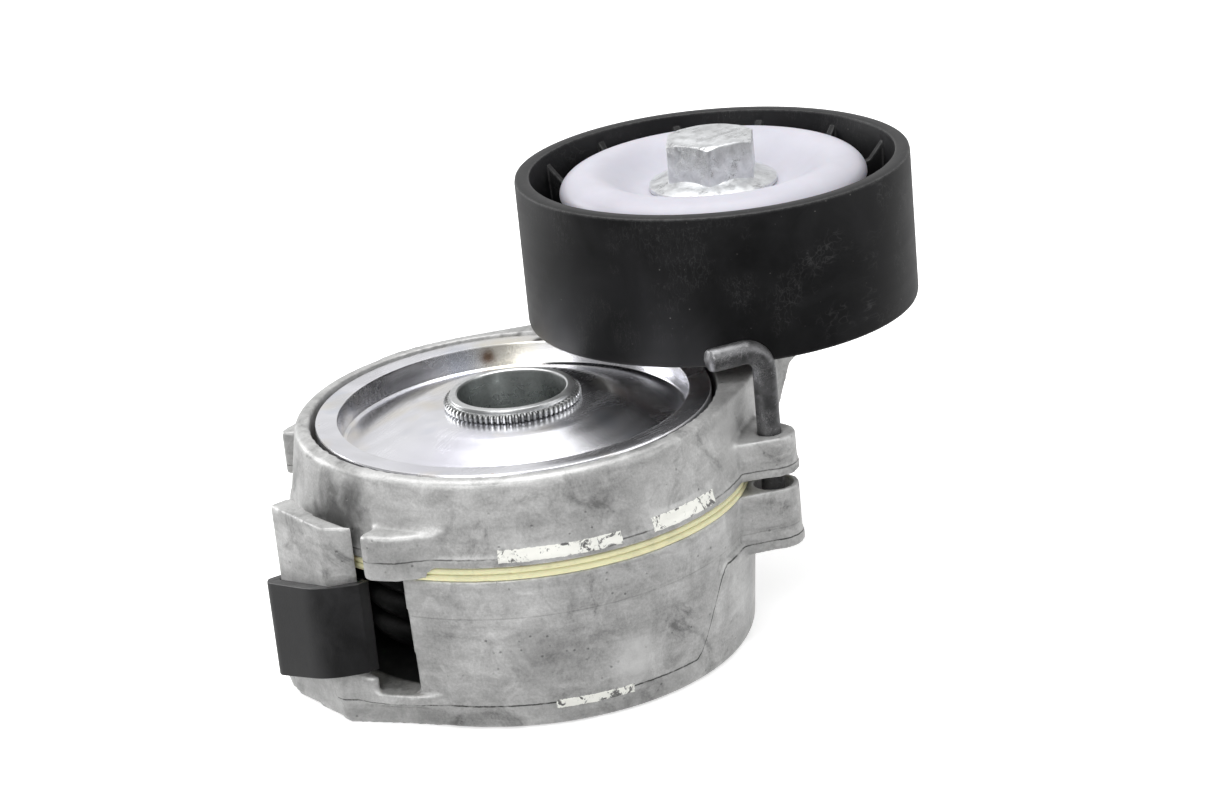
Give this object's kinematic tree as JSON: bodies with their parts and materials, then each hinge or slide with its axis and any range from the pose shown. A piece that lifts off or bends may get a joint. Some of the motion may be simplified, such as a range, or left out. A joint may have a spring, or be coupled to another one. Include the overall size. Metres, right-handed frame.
{
  "type": "belt tensioner",
  "caption": "Spring-loaded belt tensioner: a swing arm on a round die-cast base carries a smooth idler pulley on a sealed ball bearing, and a bent pin locks the arm.",
  "frame": {"origin": "centre of the base's mounting face, on the pivot axis", "axes": "+Z along the pivot axis from the mounting face to the pulley, +X from the pivot towards the pulley's axis while the pin holds the arm"},
  "size_m": [0.1303, 0.0794, 0.0774],
  "materials": {
    "cast_aluminium": "satin die-cast skin with stains",
    "turned_steel": "turned and knurled",
    "bright_steel": "bright zinc plate",
    "zinc_bolt": "zinc plate with scratches",
    "bearing_steel": "ground",
    "spring_steel": "dark oiled steel",
    "pin_steel": "dark oily steel",
    "cage_brass": "satin",
    "black_plastic": "satin moulded nylon",
    "white_plastic": "moulded, slightly glossy",
    "friction_nylon": "cream yellow nylon",
    "bush_nylon": "plain",
    "black_rubber": "satin",
    "seal_rubber": "matt"
  },
  "bodies": {
    "base": {"base_housing": "cast_aluminium", "pivot_sleeve": "turned_steel", "front_plate": "bright_steel", "stop_bumper": "black_rubber", "friction_ring": "friction_nylon", "thrust_washer": "bush_nylon", "torsion_spring": "spring_steel"},
    "arm": {"tensioner_arm": "cast_aluminium", "pivot_bush": "bush_nylon", "damping_cone": "bush_nylon", "dust_cap": "white_plastic", "pulley_bolt": "zinc_bolt", "bearing_inner_race": "bearing_steel"},
    "pulley": {"pulley_wheel": "black_plastic", "bearing_outer_race": "bearing_steel", "bearing_seal_front": "seal_rubber", "bearing_seal_rear": "seal_rubber"},
    "ball_cage": {"bearing_balls": "bearing_steel", "bearing_cage": "cage_brass"},
    "lock_pin": {"lock_pin": "pin_steel"}
  },
  "joints": [
    {"name": "arm_swing", "type": "hinge", "parent": "base", "child": "arm", "pos_m": [0, 0, 0], "axis": [0, 0, 1], "range_deg": [0, 35]},
    {"name": "pulley_spin", "type": "hinge", "parent": "arm", "child": "pulley", "pos_m": [0.05, 0, 0.05975], "axis": [0, 0, 1], "continuous": true},
    {"name": "cage_spin", "type": "hinge", "parent": "arm", "child": "ball_cage", "pos_m": [0.05, 0, 0.05975], "axis": [0, 0, 1], "continuous": true},
    {"name": "lock_pin_pull", "type": "slide", "parent": "arm", "child": "lock_pin", "axis": [0, 0, 1], "range_m": [0, 0.043]}
  ],
  "couplings": [
    {"joint": "cage_spin", "follows": "pulley_spin", "ratio": 0.6183},
    {"joint": "lock_pin_pull", "follows": "arm_swing", "m_per_rad": 0.07}
  ]
}
